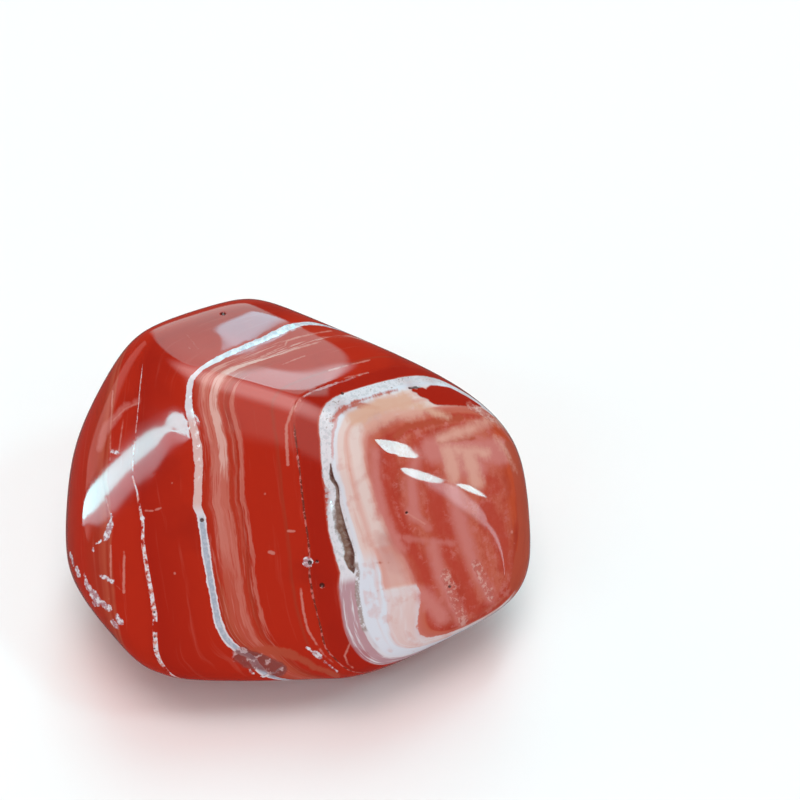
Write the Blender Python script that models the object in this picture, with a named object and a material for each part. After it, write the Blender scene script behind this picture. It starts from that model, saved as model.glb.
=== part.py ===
"""Red jasper: one tumbled piece of banded red stone, about 35 x 27 x 21 mm.

Tumbling wore a broken lump down to a ring of broad, almost flat faces that meet in soft ridges.
The stone is built the same way. A cube's grid of points is pushed out from the stone's middle until
it lies on the faces in FACETS, which meet softly, and then the hollows in HOLLOWS are pressed in.
The stone lies on a small flat spot under its middle.
Metres, +Z up, +X along the stone's long side. The origin is under the middle of its box.
"""

import math

import bmesh
import bpy
import numpy as np

MM = 0.001

SQUARES_PER_SIDE = 28
RIDGE_SHARPNESS = 20  # higher makes flatter faces and narrower ridges
FLAT_SPOT_DEPTH = 0.4 * MM  # how much of the lowest bulge is worn away flat

# Name, heading of the face's outward normal about +Z from +X in degrees, its tilt above the
# horizontal in degrees, and the face's distance from the stone's middle in millimetres.
FACETS = [
    ("front_high", -90, 53, 8.1),
    ("front_low", -92, 47, 8.1),
    ("front_left", -97, 50, 8.6),
    ("foot", -87, 31, 10.9),
    ("left", -128, 49, 11.0),
    ("left_side", -152, 36, 14.0),
    ("right", -58, 45, 9.3),
    ("right_top", -36, 59, 10.2),
    ("right_side", -28, 25, 15.1),
    ("top", 19, 80, 10.3),
    ("top_right", -22, 67, 10.1),
    ("rim_right", 4, 12, 17.2),
    ("rim_corner", 37, 27, 14.7),
    ("rim_right_low", -60, -30, 14.6),
    ("rim_low", -91, -35, 14.1),
    ("rim_left_low", -141, -22, 16.9),
    ("rim_left", -178, 5, 17.3),
    ("rim_left_top", 154, 20, 16.5),
    ("rim_top_left", 116, 32, 15.2),
    ("rim_top_right", 62, 31, 12.3),
    ("back", 84, -10, 12.0),
    ("back_left", 137, -32, 12.7),
    ("back_right", 31, -31, 13.4),
    ("under", -90, -90, 9.7),
    ("under_front", -95, -68, 9.9),
    ("under_right", 0, -66, 10.9),
    ("under_left", 175, -68, 11.0),
    ("under_back", 88, -60, 10.2),
]

# Name, heading and tilt of each end of the hollow, seen from the stone's middle, in degrees, then
# half its width and its depth in millimetres. A round hollow has both ends in one place.
HOLLOWS = [
    ("foot_scoop", (-107, -8), (-83, -12), 2.1, 0.50),
    ("open_vein", (-56, 49), (-63, 21), 0.8, 0.35),
    ("edge_chip_high", (-156, 2), (-152, 1), 1.5, 0.20),
    ("edge_chip_middle", (-147, 1), (-145, 0), 1.6, 0.25),
    ("edge_chip_low", (-140, -3), (-139, -5), 1.4, 0.20),
    ("foot_notch", (-126, -8), (-126, -11), 0.9, 0.35),
    ("top_dimple", (150, 50), (146, 53), 2.2, 0.15),
    ("back_scar", (96, 4), (72, -6), 3.2, 0.55),
    ("back_left_scar", (150, -22), (138, -34), 2.6, 0.45),
    ("right_end_dimple", (14, -14), (6, -20), 2.0, 0.35),
    ("under_scar_left", (-172, -38), (172, -36), 2.6, 0.40),
    ("under_scar_right", (-24, -36), (-40, -40), 2.2, 0.35),
]

# Linear colour, roughness and coat of the polished stone.
JASPER_RED = (0.40, 0.035, 0.018, 1.0)
JASPER_ROUGHNESS = 0.16
JASPER_COAT = 0.5


def clear_scene():
    for obj in list(bpy.data.objects):
        bpy.data.objects.remove(obj, do_unlink=True)


def direction(heading, tilt):
    """The unit vector with this heading about +Z and this tilt above the horizontal, in degrees."""
    about, above = math.radians(heading), math.radians(tilt)
    level = math.cos(above)
    return np.array([level * math.cos(about), level * math.sin(about), math.sin(above)])


FACET_NORMALS = np.array([direction(heading, tilt) for _, heading, tilt, _ in FACETS])
FACET_DISTANCES = np.array([distance * MM for _, _, _, distance in FACETS])


def reach(directions):
    """How far the worn stone reaches from its middle along each unit vector.

    A sharp-edged stone would reach to the nearest face. Here each face pulls a little near a ridge,
    which is what rounds the ridge.
    """
    nearness = np.clip(directions @ FACET_NORMALS.T, 0.0, None) / FACET_DISTANCES
    return (nearness**RIDGE_SHARPNESS).sum(axis=1) ** (-1.0 / RIDGE_SHARPNESS)


def on_stone(heading, tilt):
    along = direction(heading, tilt)
    return along * reach(along[None])[0]


def press_hollow(points, start, end, half_width, depth):
    """Moves the points near the line from start to end towards the stone's middle."""
    run = end - start
    length_squared = max(float(run @ run), 1e-12)
    share = np.clip((points - start) @ run / length_squared, 0.0, 1.0)
    away = np.linalg.norm(points - start - share[:, None] * run, axis=1) / half_width
    fall = np.clip(1.0 - away**2, 0.0, None) ** 2 * depth
    inward = -points / np.linalg.norm(points, axis=1, keepdims=True)
    return points + inward * fall[:, None]


def shaped(directions):
    points = directions * reach(directions)[:, None]
    for _, start, end, half_width, depth in HOLLOWS:
        points = press_hollow(points, on_stone(*start), on_stone(*end), half_width * MM, depth * MM)
    return points


def settled(points):
    """The points with the flat spot worn on and the origin under the middle of the box."""
    floor = points[:, 2].min() + FLAT_SPOT_DEPTH
    points[:, 2] = np.maximum(points[:, 2], floor) - floor
    middle = (points[:, :2].min(axis=0) + points[:, :2].max(axis=0)) / 2
    points[:, :2] -= middle
    return points


def jasper_material():
    material = bpy.data.materials.new("jasper")
    material.use_nodes = True
    principled = material.node_tree.nodes["Principled BSDF"]
    principled.inputs["Base Color"].default_value = JASPER_RED
    principled.inputs["Roughness"].default_value = JASPER_ROUGHNESS
    principled.inputs["Metallic"].default_value = 0.0
    principled.inputs["Coat Weight"].default_value = JASPER_COAT
    material.diffuse_color = JASPER_RED
    return material


def jasper_stone(collection):
    """The cube from minus one to one, cut into squares and pushed out to the stone's faces."""
    bpy.ops.mesh.primitive_cube_add(size=2)
    stone = bpy.context.active_object
    stone.name = "stone"
    form = bmesh.new()
    form.from_mesh(stone.data)
    bmesh.ops.subdivide_edges(form, edges=form.edges, cuts=SQUARES_PER_SIDE - 1, use_grid_fill=True)
    cube = np.array([vertex.co for vertex in form.verts])
    # The tangent keeps the squares nearly the same size in the middle of a side and at its corners.
    spread = np.tan(cube * math.pi / 4)
    directions = spread / np.linalg.norm(spread, axis=1, keepdims=True)
    for vertex, point in zip(form.verts, settled(shaped(directions))):
        vertex.co = point
    form.to_mesh(stone.data)
    form.free()
    stone.data.shade_smooth()
    stone.data.materials.append(jasper_material())
    for linked in list(stone.users_collection):
        linked.objects.unlink(stone)
    collection.objects.link(stone)
    return stone


clear_scene()
red_jasper = bpy.data.collections.new("red_jasper")
bpy.context.scene.collection.children.link(red_jasper)
jasper_stone(red_jasper)
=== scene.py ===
# %% [markdown]
# # A tumbled red jasper
# Jasper is a dense, opaque quartz rock. Iron oxide makes it red, and it is laid down in bands. A
# tumbling drum wears a broken lump until its broad faces meet in soft ridges, and then polishes it.
# This lesson dresses one such stone: first its shape, then its pits, its banding and its gloss.

# %% Load the solid stone
import math

import bpy
import numpy as np
from mathutils import Matrix, Vector


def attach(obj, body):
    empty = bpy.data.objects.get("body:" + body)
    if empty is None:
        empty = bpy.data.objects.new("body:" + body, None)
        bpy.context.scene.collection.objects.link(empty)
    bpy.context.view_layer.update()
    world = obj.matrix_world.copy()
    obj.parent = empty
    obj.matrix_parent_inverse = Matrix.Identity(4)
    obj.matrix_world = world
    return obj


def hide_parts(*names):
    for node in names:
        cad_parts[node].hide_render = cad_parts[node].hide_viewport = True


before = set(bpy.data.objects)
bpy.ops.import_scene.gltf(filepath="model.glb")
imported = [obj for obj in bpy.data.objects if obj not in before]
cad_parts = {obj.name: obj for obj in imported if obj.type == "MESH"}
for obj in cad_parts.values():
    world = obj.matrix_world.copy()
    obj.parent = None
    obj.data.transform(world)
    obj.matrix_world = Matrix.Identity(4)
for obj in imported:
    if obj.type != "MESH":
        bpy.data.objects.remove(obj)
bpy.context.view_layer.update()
MM = 0.001

# %% [markdown]
# ## Where things are on the stone
# The worn faces were laid out about the stone's middle, so places on it are given from there, in
# millimetres. +X runs along the stone, -Y faces the camera and +Z is up.

# %% The middle of the stone
MIDDLE = Vector((-0.012, 0.439, 9.226)) * MM

# %% [markdown]
# ## The camera
# The picture looks down on the stone at fifty degrees through a short telephoto lens, and the stone
# lies left of and below the middle of the frame. So the camera aims past it, up and to the right.

# %% Set up the camera
CAMERA_ELEVATION = math.radians(50)
LENS_MM = 85.0
SENSOR_MM = 36.0
FRAME_PIXELS = 800
PIXELS_PER_MM = 13.4  # at the stone's middle
MIDDLE_PIXEL = (298, 492)  # where the stone's middle shows in the frame

camera_data = bpy.data.cameras.new("camera")
camera_data.lens = LENS_MM
camera_data.sensor_width = SENSOR_MM
camera_data.clip_start = 0.01
camera = bpy.data.objects.new("camera", camera_data)
bpy.context.scene.collection.objects.link(camera)
bpy.context.scene.camera = camera

picture_right = Vector((1, 0, 0))
picture_up = Vector((0, math.sin(CAMERA_ELEVATION), math.cos(CAMERA_ELEVATION)))
to_camera = Vector((0, -math.cos(CAMERA_ELEVATION), math.sin(CAMERA_ELEVATION)))
aim_right = (FRAME_PIXELS / 2 - MIDDLE_PIXEL[0]) / PIXELS_PER_MM * MM
aim_up = (MIDDLE_PIXEL[1] - FRAME_PIXELS / 2) / PIXELS_PER_MM * MM
camera_distance = FRAME_PIXELS * LENS_MM / SENSOR_MM / PIXELS_PER_MM * MM
camera.location = MIDDLE + picture_right * aim_right + picture_up * aim_up + to_camera * camera_distance
camera.rotation_euler = (math.pi / 2 - CAMERA_ELEVATION, 0, 0)
print("camera distance, mm:", round(camera_distance / MM, 1))

# %% [markdown]
# ## A finer skin for the stone
# The solid's mesh is made of triangles about a millimetre long. A copy of it is merged, turned back
# into squares and smoothed with a Subdivision Surface, which keeps the worn faces flat and rounds
# the ridges. A Smooth modifier then rounds the left shoulder, which shows no ridge at all.

# %% Copy, merge and subdivide
def work_on(obj):
    """Makes an object the only selected one, and the active one."""
    bpy.ops.object.select_all(action="DESELECT")
    obj.select_set(True)
    bpy.context.view_layer.objects.active = obj


MERGE_DISTANCE = 0.001 * MM
SKIN_LEVELS = 2

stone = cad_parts["stone"].copy()
stone.data = stone.data.copy()
stone.name = "polished_stone"
stone.data.name = "polished_stone"
for key in list(stone.keys()):
    del stone[key]
stone.parent = None
bpy.context.scene.collection.objects.link(stone)
work_on(stone)
bpy.ops.object.mode_set(mode="EDIT")
bpy.ops.mesh.select_all(action="SELECT")
bpy.ops.mesh.remove_doubles(threshold=MERGE_DISTANCE)
bpy.ops.mesh.tris_convert_to_quads(face_threshold=math.radians(60), shape_threshold=math.radians(60))
bpy.ops.object.mode_set(mode="OBJECT")
corner_counts = [len(face.vertices) for face in stone.data.polygons]
print("squares:", corner_counts.count(4), "of", len(corner_counts))

skin = stone.modifiers.new("skin", "SUBSURF")
skin.levels = SKIN_LEVELS
skin.render_levels = SKIN_LEVELS
bpy.ops.object.modifier_apply(modifier="skin")
bpy.ops.object.shade_smooth()
print("faces after smoothing:", len(stone.data.polygons))


# %% Helpers that measure places on the stone
def points_of(mesh):
    """The mesh's points, in millimetres from the stone's middle."""
    flat = np.empty(len(mesh.vertices) * 3)
    mesh.vertices.foreach_get("co", flat)
    return (flat.reshape(-1, 3) - np.array(MIDDLE)) / MM


def distance_to_line(points, corners):
    """Distance in millimetres from each point to a line through these corners, or to a single place."""
    nearest = np.linalg.norm(points - np.array(corners[0]), axis=1)
    for start, end in zip(corners[:-1], corners[1:]):
        start, run = np.array(start), np.array(end) - np.array(start)
        share = np.clip((points - start) @ run / (run @ run), 0, 1)
        nearest = np.minimum(nearest, np.linalg.norm(points - start - share[:, None] * run, axis=1))
    return nearest


def dish(distance, reach):
    """One in the middle of a hollow, falling smoothly to nothing at its reach."""
    return np.clip(1 - (distance / reach) ** 2, 0, 1) ** 2


def slope(depth, start, width):
    """Nothing up to start, then rising evenly to one over a width."""
    return np.clip((depth - start) / width, 0, 1)


def weigh(name, weights):
    """Keeps one weight a point in a vertex group, for a modifier to use."""
    group = stone.vertex_groups.new(name=f"weight_{name}")
    for index in np.nonzero(weights > 0.01)[0]:
        group.add([int(index)], float(weights[index]), "REPLACE")
    return group.name


def remember(name, values):
    """Stores one number a point on the mesh, for the material to read."""
    attribute = stone.data.attributes.get(name) or stone.data.attributes.new(name, "FLOAT", "POINT")
    attribute.data.foreach_set("value", values.astype(np.float32))


# %% Round the left shoulder
SHOULDER = (-12.5, -2.0, 5.5)
SHOULDER_REACH = 8.5
SHOULDER_ROUNDS = 120
shoulder = dish(distance_to_line(points_of(stone.data), [SHOULDER]), SHOULDER_REACH)
rounding = stone.modifiers.new("rounding", "SMOOTH")
rounding.vertex_group = weigh("shoulder", shoulder)
rounding.factor = 0.5
rounding.iterations = SHOULDER_ROUNDS
bpy.ops.object.modifier_apply(modifier="rounding")

# %% [markdown]
# ## The bands are flat sheets
# The stone's bands are layers that once lay flat, and the worn faces cut through them at a slant.
# That is why a vein turns a corner at each ridge, and why the bands close into arcs at the right
# end, where the surface runs almost along them. So every point gets a band level: how far it lies
# across the layers, in millimetres. Real layers wander, so each of the main ones has a list of
# where it lies at different distances down the layers, and the layers between follow them.

# %% Directions across, down and along the layers
ACROSS_BANDS = Vector((0.484, -0.505, 0.715)).normalized()
FRONT_FACE = Vector((0.0, -0.64, 0.77)).normalized()
DOWN_BANDS = ACROSS_BANDS.cross(FRONT_FACE).normalized()
ALONG_BANDS = DOWN_BANDS.cross(ACROSS_BANDS).normalized()

# Each layer: its nominal level, then how far down and at which level it lies, in millimetres.
FINE_VEIN, THICK_VEIN, PITTED_VEIN = 0.85, 3.4, 7.1
OPEN_VEIN = 8.2  # lies between the two layers at 8.0 and 8.4
LAYERS = [
    (FINE_VEIN, [(-10, 0.8), (-7, 0.6), (-4.5, 0.37), (-3, 0.33), (-2, 0.6), (0.3, 0.92), (1.6, 0.86),
                 (5, 1.0), (7, 1.0), (9, 0.73), (10.4, 0.45)]),
    (THICK_VEIN, [(-12.3, 3.1), (-11.6, 3.4), (-10.2, 3.65), (-9.2, 3.42), (-7.3, 3.36), (-5.6, 3.54),
                  (-4.4, 3.62), (-3, 3.58), (-0.3, 3.31), (0.6, 3.41), (3.7, 3.35), (8, 3.28), (9.7, 3.38),
                  (10.4, 3.54), (10.9, 3.77)]),
    (PITTED_VEIN, [(-7, 7.0), (-4.4, 7.14), (-2, 7.18), (2.7, 7.12), (4, 7.08), (5.7, 6.91), (9.5, 6.83),
                   (11, 6.7), (12.6, 6.79)]),
    (8.0, [(-6.8, 7.60), (-6.1, 7.77), (-5.6, 7.87), (-4.9, 7.92), (-3.6, 8.02), (1, 7.98), (2.7, 7.91),
           (3.9, 7.97), (5.8, 8.08), (6.8, 7.93), (9.8, 7.73)]),
    (8.4, [(-6.8, 7.89), (-6.3, 7.93), (-5.6, 8.12), (-4.5, 8.34), (1, 8.37), (3, 8.48), (5, 8.58),
           (6, 8.58), (7, 8.45), (9.8, 8.27)]),
    (9.3, [(-4.5, 8.8), (-2.3, 9.13), (0, 9.3), (2, 9.36), (5.5, 9.4), (8.2, 9.4), (9.8, 9.2),
           (11.4, 8.95)]),
    (9.55, [(-3.8, 9.2), (-2, 9.43), (0, 9.52), (2, 9.57), (4, 9.54), (6.5, 9.56), (8.5, 9.47), (11, 9.2)]),
    (10.2, [(-3.2, 9.47), (-1.6, 9.9), (0.7, 10.24), (2.9, 10.28), (5, 10.12), (7.2, 9.98), (9.5, 9.8)]),
]


def band_level(points):
    """How far each point lies across the layers, with the wandering of the layers taken out."""
    raw = points @ np.array(ACROSS_BANDS)
    down = points @ np.array(DOWN_BANDS)
    names = [name for name, wander in LAYERS]
    found = [np.interp(down, *zip(*wander)) for name, wander in LAYERS]
    level = raw + names[0] - found[0]
    for number in range(len(LAYERS) - 1):
        low, high = found[number], found[number + 1]
        between = names[number] + (raw - low) / (high - low) * (names[number + 1] - names[number])
        level = np.where(raw > low, between, level)
    return np.where(raw > found[-1], raw + names[-1] - found[-1], level)


# %% [markdown]
# ## Small marks
# Chips, pits, dashes and flecks are told as short thick lines: the places they run through, in
# millimetres from the stone's middle, and how far they reach to each side.

# %% List the marks
PALE_MARKS = [
    ([(-13.1, -5.5, 3.4), (-13.4, -6.1, 2.7)], 0.26),  # blob above the chipped edge
    ([(-13.0, -4.9, 3.75), (-13.1, -5.5, 3.4)], 0.09),
    ([(-13.5, -6.2, 2.6), (-14.2, -6.2, 2.0)], 0.06),
    ([(-14.5, -6.4, 1.6)], 0.16),
    ([(-13.2, -1.1, 6.3), (-12.6, -1.4, 6.5)], 0.10),
    ([(-14.0, -8.1, 0.9), (-13.4, -8.5, 1.0), (-12.9, -8.9, 1.1)], 0.17),
    ([(-16.6, -5.3, -0.6), (-16.3, -6.1, -0.6)], 0.24),  # the chipped edge, from the left
    ([(-16.0, -6.7, -0.5), (-15.8, -7.0, -0.6)], 0.30),
    ([(-15.3, -7.5, 0.0)], 0.26),
    ([(-15.2, -8.0, -0.3), (-14.9, -8.4, -0.4)], 0.34),
    ([(-14.7, -8.9, -0.4), (-14.2, -9.4, -0.5)], 0.46),
    ([(-14.5, -9.4, -1.0)], 0.25),
    ([(-13.9, -9.6, -0.4), (-13.2, -10.2, -0.3)], 0.26),
    ([(-12.6, -10.9, -0.4), (-12.3, -11.1, -0.6)], 0.26),
    ([(-13.0, -11.0, -0.9), (-12.7, -11.3, -1.0)], 0.28),
    ([(-10.65, -5.7, 4.4)], 0.16),  # where the fine vein breaks
    ([(1.1, -8.5, 3.0)], 0.36),  # ring of the white pit
    ([(1.6, -13.0, -1.7), (1.9, -13.2, -1.9)], 0.20),  # where the pitted vein meets the foot
    ([(1.0, -12.8, -1.3), (1.6, -13.0, -1.7)], 0.06),
    ([(2.3, -13.4, -2.3), (3.1, -13.7, -3.0)], 0.07),
    ([(-3.9, -13.0, -2.1), (-3.2, -13.4, -2.6), (-2.9, -13.8, -3.1)], 0.10),  # edges of the scoop
    ([(-2.2, -13.9, -3.4), (-1.3, -13.7, -3.2), (-0.7, -13.5, -2.7)], 0.09),
]
DARK_MARKS = [
    ([(1.25, -8.5, 2.95)], 0.15),  # hole of the white pit
    ([(1.75, -8.4, 3.0)], 0.11),
    ([(2.1, -9.7, 1.9)], 0.17),
    ([(-5.3, 8.2, 10.8)], 0.20),
    ([(-6.35, -6.1, 4.75)], 0.15),  # chip in the thick vein
    ([(8.3, 3.4, 8.0), (9.1, 3.7, 7.8)], 0.09),
    ([(3.5, 1.7, 9.4)], 0.11),
    ([(-9.8, -10.9, 0.3)], 0.08),  # pits low in the fine vein
    ([(-9.8, -12.2, -0.9)], 0.09),
    ([(-9.8, -12.8, -1.5)], 0.08),
    ([(11.2, -8.5, 0.0)], 0.11),
    ([(8.1, -5.2, 4.4)], 0.10),
    ([(-2.4, -13.4, -2.0)], 0.16),
]
RED_MARKS = [
    ([(10.2, 3.4, 7.1), (11.9, 3.9, 6.1), (13.0, 4.4, 5.6)], 0.85),  # dark patch behind the cream band
    ([(8.6, 3.3, 7.8), (9.6, 3.3, 7.4)], 0.18),
    ([(9.2, 3.3, 7.6), (10.2, 3.2, 7.1)], 0.42),
    ([(4.4, -13.1, -1.8), (4.9, -13.2, -2.1)], 0.60),  # lens at the foot
]
# Rosy marks; two of them, on the top, are painted highlights where ripples catch the light.
ROSY_MARKS_AND_GLINTS = [
    ([(4.1, -12.6, -1.0), (3.7, -13.2, -1.8), (3.9, -13.6, -2.3), (4.3, -13.7, -2.7)], 0.06),
    ([(-13.1, 2.6, 8.6), (-13.2, -0.4, 6.7), (-13.2, -1.6, 5.9)], 0.06),
    ([(-13.5, -3.7, 4.3), (-13.1, -5.0, 3.7)], 0.05),
    ([(-12.2, 0.4, 8.0), (-12.5, -1.3, 6.6)], 0.05),
    ([(-11.0, 1.0, 9.2), (-12.1, 1.0, 8.5), (-13.0, 0.7, 7.6)], 0.06),
    ([(-10.4, -5.3, 4.8), (-9.9, -5.4, 4.9)], 0.05),
    ([(-9.7, -5.4, 5.0), (-9.3, -5.3, 5.1)], 0.05),
    ([(-12.8, -9.0, 1.1), (-12.2, -9.5, 1.0)], 0.05),
    ([(-13.0, -6.7, 2.5), (-13.0, -8.6, 1.2)], 0.07),
    ([(-12.0, -7.4, 2.7), (-12.0, -9.6, 0.9)], 0.08),
    ([(-8.5, -4.0, 6.3)], 0.05),
    ([(-9.8, -3.4, 6.5)], 0.06),
    ([(-8.3, -8.9, 2.2)], 0.08),
    ([(-13.2, -9.7, 0.2)], 0.11),
    ([(-1.9, -4.8, 6.1)], 0.06),
    ([(-1.6, -7.9, 3.4), (-1.3, -8.0, 3.4)], 0.10),
    ([(-0.3, -6.8, 4.4), (0.2, -6.8, 4.4)], 0.06),
    ([(0.6, -9.9, 1.7), (0.8, -11.1, 0.6), (1.1, -12.0, -0.3), (1.6, -12.6, -0.9), (2.2, -13.2, -1.7),
      (3.3, -13.8, -2.6)], 0.07),
    ([(0.5, 0.6, 9.9), (0.0, -0.1, 9.7), (-0.4, -1.0, 9.1), (-0.4, -1.9, 8.5), (-0.3, -3.2, 7.4)], 0.09),
    ([(-2.6, 3.9, 10.7), (-0.7, 5.5, 10.3), (-0.6, 6.0, 10.2), (0.0, 6.4, 10.1), (2.6, 7.8, 9.3)], 0.06),
    ([(-0.6, 4.9, 10.2), (2.1, 6.5, 9.7)], 0.05),
    ([(-0.8, 3.6, 10.4), (0.7, 4.7, 10.0)], 0.04),
    ([(2.5, 3.6, 9.7), (5.4, 5.2, 9.0)], 0.05),
    ([(3.6, 3.1, 9.4), (5.3, 4.0, 9.0)], 0.04),
    ([(-8.3, 5.4, 11.5), (-7.4, 4.3, 11.4)], 0.06),  # painted highlights: the glints off ripples on the top
    ([(-7.8, 5.8, 11.4), (-6.8, 4.3, 11.3)], 0.06),
    ([(15.8, -4.1, 0.6)], 0.12),
    ([(16.0, -4.7, -0.1)], 0.10),
    ([(8.1, -5.2, 4.4), (9.4, -5.5, 3.5)], 0.05),
]
CRUSTY_MARKS = [
    ([(10.9, -7.9, 0.6), (11.5, -9.1, -0.8), (12.2, -10.0, -2.3)], 0.40),  # rough arcs at the right
    ([(13.1, -6.8, 0.3), (13.7, -7.5, -0.6), (14.3, -8.3, -1.8)], 0.34),
    ([(12.8, 3.4, 6.0), (14.3, 3.1, 5.0)], 0.40),
]
SCOOP_MARKS = [([(-3.7, -13.0, -2.0), (-2.2, -13.3, -2.5), (-1.2, -13.6, -2.9)], 0.65)]
MARKS = {
    "pale": PALE_MARKS, "dark": DARK_MARKS, "red": RED_MARKS, "rosy": ROSY_MARKS_AND_GLINTS, "crusty": CRUSTY_MARKS,
    "scoop": SCOOP_MARKS,
}

# Broad soft strokes of colour, most of them on the right face.
CREAM_STROKES = [
    ([(4.4, -0.1, 8.8), (6.1, 1.4, 8.5), (8.0, 2.2, 7.9)], 0.60),
    ([(8.0, 2.2, 7.9), (9.7, 2.0, 7.2), (11.0, 1.8, 6.6)], 0.22),
]
PEACH_STROKES = [
    ([(5.3, -0.5, 8.4), (7.3, 1.1, 8.0), (9.0, 1.6, 7.4)], 0.45),
    ([(10.5, 0.0, 6.3), (12.6, 1.3, 5.8), (14.2, 2.8, 4.6), (15.6, 3.6, 3.6)], 0.36),
    ([(11.1, -0.7, 5.8), (11.5, -2.3, 4.8)], 0.52),
    ([(12.6, -0.5, 5.2), (13.1, -2.1, 4.1)], 0.62),
    ([(11.1, -0.6, 5.9), (14.0, 0.0, 4.7)], 0.30),
    ([(14.7, 1.5, 4.7), (15.6, 0.5, 3.7), (16.2, -0.2, 2.9)], 0.10),
]
ROSE_STROKES = [
    ([(10.0, -0.9, 6.2), (12.6, -0.4, 5.3), (15.1, 0.6, 4.1)], 0.95),
    ([(11.4, -1.4, 5.2), (13.2, -1.2, 4.5)], 0.80),
    ([(8.8, -1.6, 6.5), (8.4, -3.3, 5.7), (8.6, -5.2, 4.1)], 0.38),
    ([(11.5, -3.0, 4.3), (11.8, -4.5, 3.0), (12.5, -6.0, 1.3)], 0.52),
    ([(12.5, -6.0, 1.3), (13.2, -7.3, -0.2), (14.2, -8.2, -1.9)], 0.42),
    ([(10.0, -6.6, 2.2), (10.5, -8.0, 0.8), (11.2, -9.1, -0.7), (12.0, -10.0, -2.2)], 0.42),
    ([(5.8, -2.1, 7.5), (6.0, -4.3, 6.0), (6.4, -5.4, 5.0), (7.0, -6.4, 3.9), (7.7, -7.2, 2.9)], 0.32),
    ([(9.3, -9.4, 0.2), (10.5, -10.2, -1.2)], 0.60),
]
DEEP_STROKES = [
    ([(6.9, -2.1, 7.1), (6.7, -4.4, 5.7), (7.2, -5.9, 4.2), (8.4, -7.1, 2.6), (9.1, -8.6, 1.0)], 0.40),
    ([(10.2, -3.3, 4.8), (10.0, -4.5, 4.0), (10.9, -5.6, 2.6)], 0.60),
    ([(10.9, -6.9, 1.5), (12.3, -7.8, -0.1), (13.2, -9.3, -2.2)], 0.40),
    ([(13.9, -3.5, 2.6), (15.1, -5.0, 0.5), (15.2, -6.2, -0.7)], 0.60),
    ([(13.6, -1.5, 4.2), (14.7, -2.0, 3.1), (13.9, -2.6, 3.2)], 0.36),
    ([(9.1, -7.7, 1.8), (9.6, -9.1, 0.3)], 0.22),
]
CLAY_STROKES = [
    ([(7.3, -0.7, 7.5), (8.2, 0.3, 7.4), (9.5, 0.9, 7.0), (11.5, 1.8, 6.4), (14.8, 3.7, 4.1)], 0.24),
    ([(10.4, -0.3, 6.3), (12.6, 0.6, 5.6), (15.6, 2.5, 3.7)], 0.08),
    ([(15.9, 1.1, 3.5), (16.6, -1.2, 1.5), (16.8, -4.0, -0.9), (16.2, -6.4, -2.2)], 0.85),
    ([(2.8, -0.6, 9.1), (3.2, 0.0, 9.2), (3.6, 0.5, 9.2), (4.3, 1.1, 9.1), (5.1, 1.6, 8.9),
      (6.2, 2.3, 8.6)], 0.17),
    ([(6.2, 2.3, 8.6), (7.3, 2.9, 8.3)], 0.12),
    ([(4.6, 0.8, 8.9), (5.1, 1.0, 8.8), (5.9, 1.1, 8.5)], 0.22),
    ([(3.7, 0.5, 9.2), (4.8, 1.1, 8.9), (5.8, 1.1, 8.6)], 0.20),
    ([(5.6, -8.4, 2.8), (7.0, -8.1, 2.4)], 0.01),
    ([(5.6, -10.0, 1.3), (6.5, -9.6, 1.35)], 0.01),
    ([(-2.7, -12.8, -1.6), (-1.3, -12.9, -1.5), (0.0, -13.1, -1.8), (1.5, -13.5, -2.7),
      (3.0, -13.8, -3.5)], 0.30),
]
HAZE_STROKES = [
    ([(7.4, -6.7, 3.5), (11.5, -6.1, 1.9)], 0.16),
    ([(8.2, -5.0, 4.5), (9.6, -5.6, 3.2)], 0.30),
    ([(-11.0, 1.2, 9.3), (-12.1, 1.1, 8.6), (-13.0, 0.8, 7.7)], 0.22),
    ([(-13.1, 0.7, 7.6), (-13.8, 0.3, 6.7), (-14.1, -0.4, 5.9)], 0.36),
]
STROKES = {
    "clay": CLAY_STROKES, "deep": DEEP_STROKES, "rose": ROSE_STROKES, "haze": HAZE_STROKES,
    "peach": PEACH_STROKES, "cream": CREAM_STROKES,
}
FAR_AWAY = 2.0  # marks are not measured beyond this many millimetres


def beyond(points, marks):
    """How far each point lies outside the nearest mark, in millimetres; inside it is negative."""
    nearest = np.full(len(points), FAR_AWAY)
    for corners, reach in marks:
        nearest = np.minimum(nearest, distance_to_line(points, corners) - reach)
    return nearest


# %% [markdown]
# ## More points where the detail is
# Veins and marks are a few tenths of a millimetre wide. Only the squares near them are divided once
# or twice more, which keeps the mesh light.

# %% Divide the squares near the veins and marks
VEIN_MARGIN = {FINE_VEIN: 0.07, THICK_VEIN: 0.16, PITTED_VEIN: 0.06, OPEN_VEIN: 0.22}
FIRST_MARGIN = 0.10  # squares this near the edge of a mark are divided once
SECOND_MARGIN = 0.05  # and squares this near are divided again
FRONT_LIMIT = -0.2  # only squares turned this far towards the camera are divided


def divide(chosen):
    """Divides each of the chosen squares into four."""
    mesh = stone.data
    bpy.ops.object.mode_set(mode="EDIT")
    bpy.ops.mesh.select_mode(type="FACE")
    bpy.ops.mesh.select_all(action="DESELECT")
    bpy.ops.object.mode_set(mode="OBJECT")
    mesh.polygons.foreach_set("select", chosen)
    bpy.ops.object.mode_set(mode="EDIT")
    bpy.ops.mesh.subdivide(number_cuts=1, smoothness=0)
    bpy.ops.object.mode_set(mode="OBJECT")


def squares():
    """Middles of the mesh's faces in millimetres from the stone's middle, and how they face the camera."""
    mesh = stone.data
    middles = np.empty(len(mesh.polygons) * 3)
    mesh.polygons.foreach_get("center", middles)
    normals = np.empty(len(mesh.polygons) * 3)
    mesh.polygons.foreach_get("normal", normals)
    return (middles.reshape(-1, 3) - np.array(MIDDLE)) / MM, normals.reshape(-1, 3) @ np.array(to_camera)


def near_marks(middles, margin):
    """Which of the faces lie within a margin of the edge of a mark."""
    near = np.zeros(len(middles), bool)
    for marks in MARKS.values():
        outside = beyond(middles, marks)
        near |= np.abs(outside) < margin
    return near


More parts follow.
